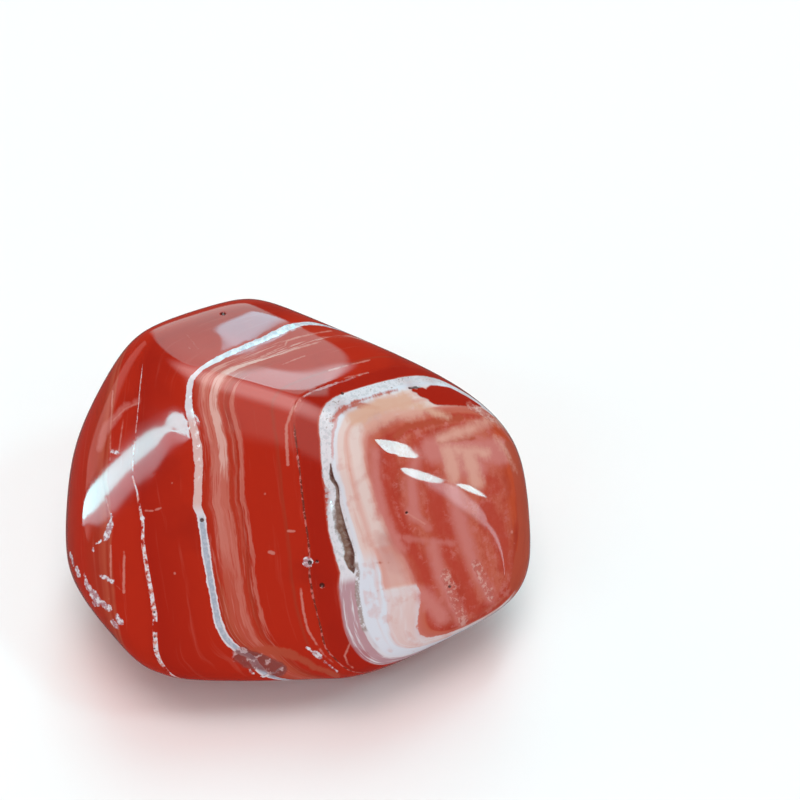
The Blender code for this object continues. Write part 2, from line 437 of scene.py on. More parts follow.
middles, facing = squares()
level = band_level(middles)
chosen = near_marks(middles, FIRST_MARGIN)
for centre, margin in VEIN_MARGIN.items():
    chosen |= np.abs(level - centre) < margin
divide(chosen & (facing > FRONT_LIMIT))
middles, facing = squares()
divide(near_marks(middles, SECOND_MARGIN) & (facing > FRONT_LIMIT))
stone.data.calc_loop_triangles()
print("triangles after dividing:", len(stone.data.loop_triangles))

points = points_of(stone.data)
normals = np.empty(len(points) * 3)
stone.data.vertices.foreach_get("normal", normals)
seen = normals.reshape(-1, 3) @ np.array(to_camera) > FRONT_LIMIT
level = band_level(points)
down = points @ np.array(DOWN_BANDS)
remember("band_level", level)
outside = {name: beyond(points, marks) for name, marks in (MARKS | STROKES).items()}
for name, distance in outside.items():
    remember(f"beyond_{name}", distance)

# %% [markdown]
# ## Carving
# Each hollow is carved as it would be by hand in Blender: its points are given weights in a vertex
# group, and a Displace modifier sinks them along their normals, with a noise texture where the
# floor of the hollow is rough.

# %% A helper that carves with a vertex group and a Displace modifier
def carve(name, weights, depth, roughness_size=None):
    """Sinks the weighted points by depth millimetres; a rough floor takes a clouds texture."""
    sink = stone.modifiers.new(name, "DISPLACE")
    sink.vertex_group = weigh(name, weights)
    sink.direction = "NORMAL"
    sink.texture_coords = "LOCAL"
    sink.mid_level = 0.0
    sink.strength = -depth * MM
    if roughness_size:
        grain = bpy.data.textures.new(name, "CLOUDS")
        grain.noise_scale = roughness_size * MM
        grain.noise_depth = 3
        grain.contrast = 2.0
        sink.texture = grain
    work_on(stone)
    bpy.ops.object.modifier_apply(modifier=name)
    print("carved", name, "points:", int((weights > 0.01).sum()))


# %% Carve the open vein, the chips and the pits
# How far down the layers, and between which levels, the thickest vein stands open.
OPENING = [
    (-2.0, 8.26, 8.30), (-1.2, 8.18, 8.34), (-0.5, 8.15, 8.32), (1.0, 8.01, 8.19), (2.4, 8.06, 8.25),
    (4.7, 8.07, 8.31), (5.6, 8.14, 8.32), (6.0, 8.24, 8.26),
]
open_down, open_low, open_high = zip(*OPENING)
low_wall, high_wall = np.interp(down, open_down, open_low), np.interp(down, open_down, open_high)
inside_vein = np.minimum(level - low_wall, high_wall - level)
inside_vein = np.where((down > open_down[0]) & (down < open_down[-1]), inside_vein, -FAR_AWAY)
remember("inside_vein", inside_vein)
carve("open_vein", slope(inside_vein, 0.0, 0.08) * seen, depth=0.20, roughness_size=0.4)
carve("chips", slope(-outside["pale"], 0.08, 0.2), depth=0.10, roughness_size=0.35)
crusted = slope(-np.minimum(outside["crusty"], outside["scoop"]), -0.1, 0.4)
carve("crust", crusted, depth=0.14, roughness_size=0.5)
carve("pits", slope(-outside["dark"], -0.03, 0.12), depth=0.10)
VEIN_GROOVES = {THICK_VEIN: 0.18, PITTED_VEIN: 0.06}
grooves = sum(dish(level - centre, reach) for centre, reach in VEIN_GROOVES.items())
carve("grooves", np.clip(grooves, 0, 1) * seen, depth=0.025, roughness_size=0.5)

# %% [markdown]
# ## The jasper's finish
# Colours are mixed by band level: ramps give the broad bands, fine noise drawn out along the layers
# gives the streaks, and each vein is a thin window of levels. The marks are laid over them.

# %% Colours read
def srgb(red, green, blue):
    """A colour as seen on a screen, from 0 to 255, as the linear colour that shaders use."""
    channels = []
    for value in (red, green, blue):
        share = value / 255
        channels.append(share / 12.92 if share <= 0.04045 else ((share + 0.055) / 1.055) ** 2.4)
    return (*channels, 1.0)


BRICK = srgb(170, 50, 30)
RED = srgb(182, 38, 16)
DEEP_RED = srgb(168, 30, 12)
DARK_RED = srgb(150, 26, 12)
CLAY = srgb(182, 76, 54)
RUST = srgb(196, 74, 40)
WARM_RED = srgb(186, 66, 50)
WARM_CLAY = srgb(198, 98, 78)
ROSE = srgb(190, 82, 66)
SALMON = srgb(200, 106, 92)
PINK = srgb(212, 136, 124)
ROSY = srgb(206, 120, 113)
PEACH = srgb(222, 160, 144)
BUFF = srgb(222, 168, 146)
BLUSH = srgb(224, 172, 162)
CREAM = srgb(230, 200, 194)
WHITE = srgb(226, 218, 224)
SNOW = srgb(222, 220, 230)
LILAC = srgb(180, 126, 134)
BLUE_GREY = srgb(168, 176, 192)
PALE_GREY = srgb(196, 190, 196)
BROWN = srgb(126, 88, 72)
DARK_BROWN = srgb(92, 48, 38)
SOOT = srgb(70, 30, 24)
PURPLE = srgb(136, 62, 58)
CRUST = srgb(204, 168, 170)
GREY_BROWN = srgb(150, 124, 116)

LEFT_BANDS = [
    (-8.0, BRICK), (-4.0, RED), (-2.2, BRICK), (-1.6, CLAY), (-1.4, BRICK), (-1.15, CLAY), (-1.0, RED),
    (-0.6, RED), (0.5, RED), (1.1, DEEP_RED), (3.1, RED), (3.5, RED), (3.6, BRICK), (3.85, CLAY),
    (4.2, ROSE), (4.6, CLAY), (4.85, BRICK), (5.15, RED), (5.4, RED),
]
MIDDLE_BANDS = [
    (5.3, RED), (6.3, RED), (6.42, BRICK), (6.5, RED), (7.0, RED), (7.25, DEEP_RED), (7.86, DEEP_RED),
    (7.91, ROSE), (7.95, WHITE), (8.3, WHITE), (8.42, SNOW), (8.5, WHITE), (8.58, CREAM),
    (8.8, CREAM), (8.9, BLUSH), (9.02, CREAM), (9.18, CREAM), (9.26, BLUSH), (9.3, PINK),
]
RIGHT_BANDS = [
    (9.3, PINK), (9.36, SALMON), (9.44, WARM_CLAY), (9.5, WARM_RED), (9.6, WARM_RED), (9.75, WARM_CLAY),
    (9.95, WARM_RED), (10.2, WARM_CLAY), (10.5, ROSE), (10.7, WARM_CLAY),
]
# Strokes along the layers beside the thick vein: the level, half the width, how far down the layers
# each one starts and ends, its colour, and how much it covers.
LAYER_STROKES = [
    (4.20, 0.34, -8.8, 4.2, SALMON, 0.8),
    (4.10, 0.12, -3.0, 3.6, PINK, 0.3),
    (3.88, 0.07, -9.8, -4.8, PINK, 0.75),
    (4.36, 0.10, -10.0, -3.0, BLUSH, 0.85),
    (4.46, 0.10, 3.2, 9.8, SALMON, 0.9),
    (4.02, 0.14, 4.0, 8.0, ROSE, 0.5),
    (4.78, 0.03, -5.0, 3.0, ROSE, 0.7),
    (5.04, 0.035, -7.6, 8.6, SALMON, 0.8),
    (3.74, 0.12, -8.0, 5.0, RED, 0.65),
    (4.66, 0.07, -8.0, 9.0, RED, 0.6),
]


# %% Small builders for shader nodes
class Recipe:
    """Adds nodes to one node tree and links them, so that a finish reads like a recipe."""

    def __init__(self, owner):
        owner.use_nodes = True
        self.tree = owner.node_tree

    def node(self, kind, **settings):
        """Adds a node of this kind, with these settings."""
        made = self.tree.nodes.new(kind)
        for key, value in settings.items():
            setattr(made, key, value)
        return made

    def feed(self, socket, value):
        """Links an output to a socket, or sets the socket to a number or a colour."""
        if isinstance(value, bpy.types.NodeSocket):
            self.tree.links.new(value, socket)
        else:
            socket.default_value = value

    def math(self, operation, first, second=0.0, third=0.0, clamp=False):
        """One step of arithmetic."""
        made = self.node("ShaderNodeMath", operation=operation, use_clamp=clamp)
        for socket, value in zip(made.inputs, (first, second, third)):
            self.feed(socket, value)
        return made.outputs[0]

    def times(self, first, *others):
        """All of these multiplied together."""
        for other in others:
            first = self.math("MULTIPLY", first, other)
        return first

    def attribute(self, name):
        """A number that the mesh stores at its points."""
        return self.node("ShaderNodeAttribute", attribute_name=name).outputs["Fac"]

    def noise(self, vector, scale=1.0, detail=2.0, roughness=0.5):
        """Noise from 0 to 1."""
        made = self.node("ShaderNodeTexNoise")
        self.feed(made.inputs["Vector"], vector)
        for key, value in (("Scale", scale), ("Detail", detail), ("Roughness", roughness)):
            made.inputs[key].default_value = value
        return made.outputs["Fac"]

    def smooth(self, value, low, high, bottom=0.0, top=1.0):
        """Eases from bottom to top while value goes from low to high."""
        made = self.node("ShaderNodeMapRange", interpolation_type="SMOOTHSTEP")
        for socket, given in zip(made.inputs, (value, low, high, bottom, top)):
            self.feed(socket, given)
        return made.outputs["Result"]

    def mix(self, share, first, second):
        """The first colour where share is 0, the second where it is 1."""
        made = self.node("ShaderNodeMix", data_type="RGBA")
        self.feed(made.inputs["Factor"], share)
        self.feed(made.inputs[6], first)
        self.feed(made.inputs[7], second)
        return made.outputs[2]

    def ramp(self, value, low, high, stops):
        """A colour ramp whose stops are given at values from low to high."""
        share = self.node("ShaderNodeMapRange")
        for socket, given in zip(share.inputs, (value, low, high, 0.0, 1.0)):
            self.feed(socket, given)
        made = self.node("ShaderNodeValToRGB")
        elements = made.color_ramp.elements
        elements[0].position, elements[0].color = 0.0, stops[0][1]
        elements[1].position, elements[1].color = 1.0, stops[-1][1]
        for where, colour in stops[1:-1]:
            element = elements.new((where - low) / (high - low))
            element.color = colour
        self.feed(made.inputs[0], share.outputs["Result"])
        return made.outputs["Color"]

    def between(self, value, low, high, softness):
        """One where value lies between low and high, fading over softness outside them."""
        rising = self.smooth(value, self.math("SUBTRACT", low, softness), low)
        falling = self.smooth(value, self.math("ADD", high, softness), high)
        return self.math("MULTIPLY", rising, falling)

    def window(self, value, centre, half_width, softness):
        """One where value is within half_width of centre, fading over softness."""
        away = self.math("ABSOLUTE", self.math("SUBTRACT", value, centre))
        return self.smooth(away, self.math("ADD", half_width, softness), half_width)


# %% Coordinates and noises that the jasper uses
jasper_material = bpy.data.materials.new("jasper")
jasper = Recipe(jasper_material)
principled = jasper.tree.nodes["Principled BSDF"]
here = jasper.node("ShaderNodeTexCoord").outputs["Object"]
layers = jasper.node("ShaderNodeMapping", vector_type="TEXTURE")
layer_axes = Matrix((ALONG_BANDS, DOWN_BANDS, ACROSS_BANDS)).transposed()
layers.inputs["Location"].default_value = MIDDLE
layers.inputs["Rotation"].default_value = layer_axes.to_euler()
layers.inputs["Scale"].default_value = (MM, MM, MM)
jasper.feed(layers.inputs["Vector"], here)
in_layers = layers.outputs[0]
layered = jasper.node("ShaderNodeSeparateXYZ")
jasper.feed(layered.inputs[0], in_layers)
along, downward = layered.outputs["X"], layered.outputs["Y"]


def pushed(value, noise, amount):
    """A value that noise pushes by up to half this amount either way."""
    push = jasper.math("MULTIPLY", jasper.math("SUBTRACT", noise, 0.5), amount)
    return jasper.math("ADD", value, push)


def paint(under, tone, *shares):
    """A colour with a tone laid over it, as much as the shares allow together."""
    return jasper.mix(jasper.times(*shares), under, tone)


def streak_noise(length_along, length_down, thickness, detail, across):
    """Noise drawn out along the layers: two lengths and a thickness in millimetres."""
    joined = jasper.node("ShaderNodeCombineXYZ")
    jasper.feed(joined.inputs["X"], jasper.math("DIVIDE", along, length_along))
    jasper.feed(joined.inputs["Y"], jasper.math("DIVIDE", downward, length_down))
    jasper.feed(joined.inputs["Z"], jasper.math("DIVIDE", across, thickness))
    return jasper.noise(joined.outputs[0], detail=detail, roughness=0.6)


fine_grain = jasper.noise(in_layers, scale=3.0, detail=4.0, roughness=0.65)
lumps = jasper.noise(in_layers, scale=0.9, detail=3.0)
clouds = jasper.noise(in_layers, scale=0.22, detail=3.0)
level_here = pushed(jasper.attribute("band_level"), lumps, 0.05)
streaks = streak_noise(2.6, 3.0, 0.07, 3.0, level_here)
wide_streaks = streak_noise(5.0, 8.0, 0.28, 3.0, level_here)
feathers = streak_noise(1.6, 1.4, 0.14, 3.0, level_here)
brush = streak_noise(0.7, 2.6, 1.6, 3.0, level_here)
streaky_level = pushed(pushed(level_here, streaks, 0.08), wide_streaks, 0.14)
feathery_level = pushed(pushed(level_here, feathers, 0.28), streaks, 0.12)
feathery_down = pushed(downward, streaks, 6.0)
ragged_level = pushed(level_here, fine_grain, 0.1)

# %% Bands
left_colour = jasper.ramp(streaky_level, -8.0, 5.4, LEFT_BANDS)
middle_colour = jasper.ramp(streaky_level, 5.3, 9.3, MIDDLE_BANDS)
right_colour = jasper.ramp(streaky_level, 9.3, 10.7, RIGHT_BANDS)
colour = jasper.mix(jasper.smooth(level_here, 5.3, 5.4), left_colour, middle_colour)
colour = paint(colour, right_colour, jasper.smooth(streaky_level, 9.29, 9.31))
colour = paint(colour, SALMON, jasper.smooth(wide_streaks, 0.58, 0.78, 0.0, 0.2))
colour = paint(colour, DARK_RED, jasper.smooth(clouds, 0.52, 0.72, 0.0, 0.4))

# Beside the thick vein, strokes run along the layers and fray at their ends.
on_top = jasper.smooth(downward, -9.0, -10.0)
brushed_zone = jasper.between(level_here, 3.62, 5.1, 0.12)
colour = paint(colour, RED, on_top, brushed_zone, 0.85)
for stroke_level, half_width, first, last, tone, cover in LAYER_STROKES:
    stroke = jasper.window(feathery_level, stroke_level, half_width, 0.07)
    stroke = jasper.times(stroke, jasper.between(feathery_down, first, last, 1.0), cover)
    colour = paint(colour, tone, stroke)
line_zone = jasper.times(brushed_zone, jasper.smooth(on_top, 0.6, 0.0))
colour = paint(colour, PINK, jasper.smooth(streaks, 0.55, 0.68), line_zone, 0.35)
colour = paint(colour, RED, jasper.smooth(streaks, 0.46, 0.34), line_zone, 0.5)

# The cream is whiter and blockier at the foot.
low_cream = jasper.times(jasper.smooth(downward, 4.2, 6.4), jasper.between(streaky_level, 8.42, 8.86, 0.06))
colour = paint(colour, SNOW, low_cream)
low_block = jasper.times(jasper.smooth(downward, 7.3, 7.6), jasper.between(ragged_level, 8.9, 9.3, 0.03))
colour = paint(colour, WHITE, low_block, 0.7)
low_pink = jasper.between(streaky_level, 8.94, 9.3, 0.05)
colour = paint(colour, PINK, jasper.between(downward, 4.6, 7.2, 0.4), low_pink, 0.55)
cream_zone = jasper.between(level_here, 8.5, 9.25, 0.05)
colour = paint(colour, PEACH, cream_zone, jasper.smooth(wide_streaks, 0.5, 0.7), 0.4)
colour = paint(colour, PINK, cream_zone, jasper.smooth(lumps, 0.52, 0.66), 0.3)

# %% Strokes on the right face
# Past the cream the surface runs along the layers, so soft streaks hang down the face instead of bands.
right_face = jasper.smooth(level_here, 9.45, 9.6)
dapple = jasper.noise(in_layers, scale=1.3, detail=5.0, roughness=0.7)
colour = paint(colour, SALMON, right_face, jasper.smooth(brush, 0.5, 0.66), 0.5)
colour = paint(colour, WARM_RED, right_face, jasper.smooth(brush, 0.5, 0.36), 0.5)
colour = paint(colour, ROSY, right_face, jasper.smooth(dapple, 0.5, 0.64), 0.5)
colour = paint(colour, BRICK, right_face, jasper.smooth(dapple, 0.48, 0.36), 0.35)
rim = jasper.times(jasper.smooth(along, -11.0, -12.2), jasper.smooth(level_here, 8.4, 8.8))
rim_colour = jasper.mix(jasper.smooth(wide_streaks, 0.4, 0.6), BRICK, RUST)
colour = paint(colour, rim_colour, rim, 0.85)
STROKE_LOOKS = [  # colour, softness of the edge in millimetres, and how much it covers
    ("deep", WARM_RED, 0.32, 0.85), ("rose", ROSY, 0.42, 0.95), ("haze", ROSY, 0.20, 0.6),
    ("clay", CLAY, 0.12, 0.9), ("peach", PEACH, 0.42, 0.9), ("cream", BUFF, 0.34, 0.9),
]
for name, tone, softness, cover in STROKE_LOOKS:
    edge = pushed(jasper.attribute(f"beyond_{name}"), brush, 0.8)
    edge = pushed(edge, dapple, softness * 2.2)
    colour = paint(colour, tone, jasper.smooth(edge, softness, -softness), cover)

# Marks of other reds lie under the veins.
red_edge = pushed(jasper.attribute("beyond_red"), fine_grain, 0.16)
past_vein = jasper.smooth(level_here, 8.36, 8.44)
past_vein = jasper.math("MAXIMUM", past_vein, jasper.smooth(downward, 9.0, 10.0))
colour = paint(colour, DEEP_RED, jasper.smooth(red_edge, 0.08, -0.06), past_vein)
# Rosy marks are painted pink; on the top, this pink is a painted highlight on the ripples.
rosy_and_glint_edge = pushed(jasper.attribute("beyond_rosy"), fine_grain, 0.18)
rosy = jasper.times(jasper.smooth(rosy_and_glint_edge, 0.06, -0.04), jasper.smooth(lumps, 0.34, 0.48), 0.7)
colour = paint(colour, PINK, rosy)

# %% Veins
# The thick white vein is grey between white borders below, pinkish above and thin on top.
thick_width = pushed(jasper.smooth(downward, -9.0, -7.0, 0.1, 0.14), lumps, 0.1)
thick = jasper.window(ragged_level, THICK_VEIN, thick_width, 0.03)
thick_core = jasper.window(ragged_level, THICK_VEIN, 0.08, 0.03)
thick_core = jasper.times(jasper.smooth(downward, 0.2, 1.0), thick_core)
grey_top = jasper.times(jasper.smooth(downward, -10.0, -11.0), jasper.smooth(fine_grain, 0.45, 0.6))
pink_part = jasper.between(downward, -6.0, -0.6, 1.0)
thick_colour = jasper.mix(jasper.times(pink_part, 0.75), WHITE, BLUSH)
core_colour = jasper.mix(jasper.smooth(fine_grain, 0.45, 0.62, 0.0, 0.4), BLUE_GREY, SNOW)
thick_colour = paint(thick_colour, core_colour, jasper.math("MAXIMUM", thick_core, grey_top))
colour = paint(colour, thick_colour, thick, 0.95)

# The fine white vein is a chain of beads that fades out on top.
beads = jasper.smooth(jasper.noise(in_layers, scale=1.6, detail=3.0), 0.38, 0.48)
fine_width = pushed(jasper.smooth(downward, -6.0, 4.0, 0.014, 0.085), fine_grain, 0.1)
fine_line = jasper.window(ragged_level, FINE_VEIN, fine_width, 0.02)
fine_line = jasper.times(fine_line, beads, jasper.smooth(downward, -11.2, -9.8))
colour = paint(colour, jasper.mix(jasper.smooth(fine_grain, 0.45, 0.6), WHITE, PINK), fine_line)

# The pitted vein is thin and brownish, with pale grains.
grains = jasper.smooth(fine_grain, 0.47, 0.56)
pitted_width = pushed(0.015, lumps, 0.09)
pitted_line = jasper.window(ragged_level, PITTED_VEIN, pitted_width, 0.035)
pitted_line = jasper.times(pitted_line, jasper.smooth(downward, -5.4, -4.4), 0.75)
colour = paint(colour, jasper.mix(grains, DARK_BROWN, ROSY), pitted_line)

# The open vein is rough white, and brown where it is hollow; a grey line runs on below it.
open_body = jasper.between(ragged_level, 7.94, 8.34, 0.03)
mottle = jasper.smooth(fine_grain, 0.48, 0.60)
colour = paint(colour, PALE_GREY, open_body, mottle, jasper.smooth(downward, 6.5, 5.0), 0.7)
specks = jasper.times(jasper.smooth(fine_grain, 0.42, 0.34), jasper.smooth(downward, -3.0, -5.0), open_body)
colour = paint(colour, GREY_BROWN, specks, 0.7)
low_core = jasper.times(jasper.smooth(downward, 6.0, 6.8), jasper.between(streaky_level, 7.92, 8.28, 0.04))
low_core_colour = jasper.mix(jasper.smooth(streaks, 0.50, 0.68), LILAC, WHITE)
colour = paint(colour, low_core_colour, low_core, 0.85)
hollow_edge = pushed(jasper.attribute("inside_vein"), fine_grain, 0.05)
hollow = jasper.smooth(hollow_edge, -0.01, 0.025)
hollow_colour = jasper.mix(jasper.smooth(downward, -0.5, 3.0), GREY_BROWN, BROWN)
hollow_colour = paint(hollow_colour, DARK_BROWN, jasper.smooth(ragged_level, 8.14, 8.24))
hollow_colour = paint(hollow_colour, GREY_BROWN, mottle, 0.5)
colour = paint(colour, hollow_colour, hollow)
grey_line = jasper.window(ragged_level, 8.34, 0.03, 0.03)
grey_line = jasper.times(grey_line, jasper.between(downward, 5.4, 10.0, 0.3))
colour = paint(colour, GREY_BROWN, grey_line, jasper.smooth(fine_grain, 0.35, 0.5), 0.8)
pink_line = jasper.window(ragged_level, 8.37, 0.02, 0.05)
colour = paint(colour, ROSY, pink_line, jasper.between(downward, -5.2, -2.6, 0.6), 0.6)

# %% Marks on top
pale_edge = pushed(jasper.attribute("beyond_pale"), fine_grain, 0.4)
pale = jasper.smooth(pale_edge, 0.04, -0.04)
colour = paint(colour, jasper.mix(jasper.smooth(fine_grain, 0.4, 0.54), WHITE, LILAC), pale)
crusty = jasper.smooth(pushed(jasper.attribute("beyond_crusty"), lumps, 0.5), 0.12, -0.12)
crumbs = jasper.smooth(fine_grain, 0.48, 0.58)
colour = paint(colour, jasper.mix(crumbs, ROSE, BLUSH), crusty, 0.55)
scoop = jasper.smooth(pushed(jasper.attribute("beyond_scoop"), lumps, 0.7), 0.15, -0.1)
scoop_crumbs = jasper.smooth(jasper.noise(in_layers, scale=1.6, detail=4.0, roughness=0.7), 0.54, 0.60)
colour = paint(colour, jasper.mix(scoop_crumbs, PURPLE, CRUST), scoop, 0.85)
dark = jasper.smooth(pushed(jasper.attribute("beyond_dark"), fine_grain, 0.2), 0.03, -0.03)
colour = paint(colour, SOOT, dark, 0.9)
jasper.feed(principled.inputs["Base Color"], colour)

# %% Gloss
GRAIN_HEIGHT = 0.08 * MM
POLISHED, WORN = 0.035, 0.485  # roughness
crusted_share = jasper.times(jasper.math("MAXIMUM", crusty, scoop), 0.7)
rough_share = jasper.math("ADD", jasper.times(pale, 0.5), crusted_share)
worn = jasper.math("ADD", hollow, rough_share, clamp=True)
roughness = jasper.math("MULTIPLY_ADD", worn, WORN - POLISHED, POLISHED)
jasper.feed(principled.inputs["Roughness"], roughness)
bump = jasper.node("ShaderNodeBump")
bump.inputs["Distance"].default_value = GRAIN_HEIGHT
jasper.feed(bump.inputs["Strength"], jasper.times(worn, 0.9))
jasper.feed(bump.inputs["Height"], fine_grain)
jasper.feed(principled.inputs["Normal"], bump.outputs[0])
stone.data.materials.clear()
stone.data.materials.append(jasper_material)

# %% [markdown]
# ## Floor and light
# The stone lies on a wide pale sheet, which its polish doesn't mirror. It does mirror the room, so the
# room is laid out by what the stone shows: a weak glow overhead, a tall window behind it, and narrow
# lights at its sides that draw the bright streaks. The room in front of the stone stays dark, which
# keeps its face clear.

# %% Lay the floor
FLOOR_COLOUR = srgb(252, 240, 240)
FLOOR_WIDTH = 3.0
bpy.ops.mesh.primitive_plane_add(size=FLOOR_WIDTH, location=(0, 0, 0))
floor = bpy.context.active_object
floor.visible_glossy = False
floor.name = "floor"
paper_material = bpy.data.materials.new("paper")
paper = Recipe(paper_material)
paper_finish = paper.tree.nodes["Principled BSDF"]
paper_finish.inputs["Base Color"].default_value = FLOOR_COLOUR
paper_finish.inputs["Roughness"].default_value = 0.9
paper_finish.inputs["Specular IOR Level"].default_value = 0.2
floor.data.materials.append(paper_material)

# %% [markdown]
# The broad soft lights are painted on the sky by direction. A ceiling coordinate is how far over and
# how far back a direction leans from straight up, and a wall coordinate is how far sideways and how
# high it meets a wall behind the stone.

# %% Paint the sky
world = bpy.data.worlds.new("studio")
bpy.context.scene.world = world
sky = Recipe(world)
background = sky.tree.nodes["Background"]
towards = sky.node("ShaderNodeSeparateXYZ")
sky.feed(towards.inputs[0], sky.node("ShaderNodeTexCoord").outputs["Generated"])
east, north, up = towards.outputs
high = sky.math("MAXIMUM", up, 0.05)
ceiling_x, ceiling_y = sky.math("DIVIDE", east, high), sky.math("DIVIDE", north, high)
far = sky.math("MAXIMUM", north, 0.05)
wall_x, wall_z = sky.math("DIVIDE", east, far), sky.math("DIVIDE", up, far)
is_up, is_behind = sky.smooth(up, 0.1, 0.2), sky.smooth(north, 0.03, 0.1)
WINDOW_SLANT = 0.48  # how far the window's side leans over for each step up
slant = sky.math("SUBTRACT", wall_x, sky.math("MULTIPLY", wall_z, WINDOW_SLANT))

AMBIENT = (0.18, 0.12, 0.12)


def pane(sideways, upward, across, rise):
    """A soft-edged oblong: each of its two coordinates has a low end, a high end and a softness."""
    return sky.times(sky.between(sideways, *across), sky.between(upward, *rise))


overhead = pane(ceiling_x, ceiling_y, (-0.1, 0.35, 0.35), (-0.76, 0.1, 0.06))
lean_squared = sky.math("ADD", sky.math("POWER", ceiling_x, 2.0), sky.math("POWER", ceiling_y, 2.0))
zenith = sky.smooth(sky.math("SQRT", lean_squared), 0.45, 0.15)
window_light = pane(wall_x, wall_z, (-0.3, 0.6, 0.2), (0.15, 3.0, 0.15))
window_light = sky.times(window_light, sky.smooth(slant, -0.02, -0.06))
left_pane = pane(wall_x, wall_z, (0.135, 0.20, 0.03), (0.56, 0.88, 0.06))
right_pane = pane(wall_x, wall_z, (0.28, 0.5, 0.05), (1.06, 3.0, 0.08))
right_pane = sky.times(right_pane, sky.smooth(slant, 0.02, -0.06))
SKY_LIGHTS = [  # where each one shows, its shape, its tint and its radiance
    (is_up, overhead, (1.0, 0.9, 0.8), 1.0),
    (is_up, zenith, (1.0, 0.9, 0.9), 4.0),
    (is_behind, window_light, (0.4, 1.0, 1.0), 2.5),
    (is_behind, left_pane, (0.3, 0.8, 1.0), 7.0),
    (is_behind, right_pane, (0.6, 0.9, 1.0), 5.5),
]
glow = AMBIENT
for where, shape, tint, radiance in SKY_LIGHTS:
    lit = sky.node("ShaderNodeVectorMath", operation="SCALE")
    lit.inputs[0].default_value = [channel * radiance for channel in tint]
    sky.feed(lit.inputs["Scale"], sky.times(where, shape))
    added = sky.node("ShaderNodeVectorMath", operation="ADD")
    sky.feed(added.inputs[0], glow)
    sky.feed(added.inputs[1], lit.outputs[0])
    glow = added.outputs[0]
sky.feed(background.inputs["Color"], glow)

# %% [markdown]
# The narrow lights and the fill lights are told by direction too: a heading in degrees round from +X
# and a tilt in degrees up from level. A heading and a tilt are chosen so that the stone mirrors the
# light where a real one shows its streak. The polish works like a curved mirror, and a tenth of a
# degree moves a streak by a pixel, so the corners are given to a tenth.

# %% Helpers for lights told by direction
LIGHT_DISTANCE = 3.0
BEHIND = 0.05  # how much farther a veil hangs than the light it surrounds


def heading_and_tilt(heading, tilt):
    """The direction that points this many degrees round from +X and this many up."""
    about, above = math.radians(heading), math.radians(tilt)
    return Vector((math.cos(about) * math.cos(above), math.sin(about) * math.cos(above), math.sin(above)))


def soft_box(name, first, last, degrees_wide, radiance, tint):
    """A broad area light that runs between two directions, as the stone sees them."""
    start, end = heading_and_tilt(*first), heading_and_tilt(*last)
    middle = (start + end) / 2
    upward = (end - start).normalized()
    side = upward.cross(middle).normalized()
    data = bpy.data.lights.new(name, "AREA")
    data.shape = "RECTANGLE"
    data.size = LIGHT_DISTANCE * math.radians(degrees_wide)
    data.size_y = LIGHT_DISTANCE * (end - start).length
    data.color = tint
    data.energy = radiance * data.size * data.size_y * math.pi
    light = bpy.data.objects.new(name, data)
    light.visible_glossy = False
    bpy.context.scene.collection.objects.link(light)
    facing = Matrix((side, upward, side.cross(upward))).transposed().to_4x4()
    light.matrix_world = Matrix.Translation(MIDDLE + middle * LIGHT_DISTANCE) @ facing


RIBBON_STEPS = 8  # how many pieces a ribbon has between two of its corners


def smooth_path(corners):
    """A smooth curve through corners of heading, tilt and size: rows of x, y, z and size."""
    places = [np.array([*heading_and_tilt(heading, tilt), size]) for heading, tilt, size in corners]
    places = [2 * places[0] - places[1], *places, 2 * places[-1] - places[-2]]
    path = [places[1]]
    for before, start, end, after in zip(places, places[1:], places[2:], places[3:]):
        for step in range(1, RIBBON_STEPS + 1):
            share = step / RIBBON_STEPS
            bend = (end - before) * share + (2 * before - 5 * start + 4 * end - after) * share ** 2
            bend = bend + (3 * start - before - 3 * end + after) * share ** 3
            path.append(start + bend / 2)
    return np.array(path)


def make_glow(light, radiance, tint):
    """Makes a mesh glow, hidden from the camera: by one radiance, or by a number at each of its points."""
    glowing_material = bpy.data.materials.new(light.name)
    glowing = Recipe(glowing_material)
    lamp = glowing.node("ShaderNodeEmission")
    lamp.inputs["Color"].default_value = (*tint, 1.0)
    if "brightness" in light.data.attributes:
        radiance = glowing.attribute("brightness")
    glowing.feed(lamp.inputs["Strength"], radiance)
    glowing.feed(glowing.tree.nodes["Material Output"].inputs["Surface"], lamp.outputs[0])
    light.data.materials.append(glowing_material)
    light.visible_camera = False


def light_ribbon(name, corners, rows, tint, distance=LIGHT_DISTANCE):
    """A curved strip of light. Each row has its degrees to the side, times the size, and its radiance."""
    path = smooth_path(corners)
    along_path, sizes = path[:, :3], np.clip(path[:, 3], 0, None)
    sides = np.cross(np.gradient(along_path, axis=0), along_path)
    sides /= np.linalg.norm(sides, axis=1)[:, None]
    bpy.ops.mesh.primitive_grid_add(x_subdivisions=len(path) - 1, y_subdivisions=len(rows) - 1, size=2)
    ribbon = bpy.context.active_object
    ribbon.name = name
    glows = []
    for vertex in ribbon.data.vertices:
        step = round((vertex.co.x + 1) / 2 * (len(path) - 1))
        offset, glow = rows[round((vertex.co.y + 1) / 2 * (len(rows) - 1))]
        aside = sides[step] * math.radians(offset) * sizes[step]
        vertex.co = MIDDLE + Vector(along_path[step] + aside) * distance
        glows.append(glow)
    if min(glows) < max(glows):
        brightness = ribbon.data.attributes.new("brightness", "FLOAT", "POINT")
        brightness.data.foreach_set("value", glows)
    make_glow(ribbon, glows[0], tint)


def light_patch(name, rows, radiance, tint):
    """An evenly bright patch of light: each row has its tilt and the headings it runs between."""
    bpy.ops.mesh.primitive_grid_add(x_subdivisions=len(rows) - 1, y_subdivisions=1, size=2)
    patch = bpy.context.active_object
    patch.name = name
    for vertex in patch.data.vertices:
        tilt, first, last = rows[round((vertex.co.x + 1) / 2 * (len(rows) - 1))]
        vertex.co = MIDDLE + heading_and_tilt(first if vertex.co.y < 0 else last, tilt) * LIGHT_DISTANCE
    make_glow(patch, radiance, tint)


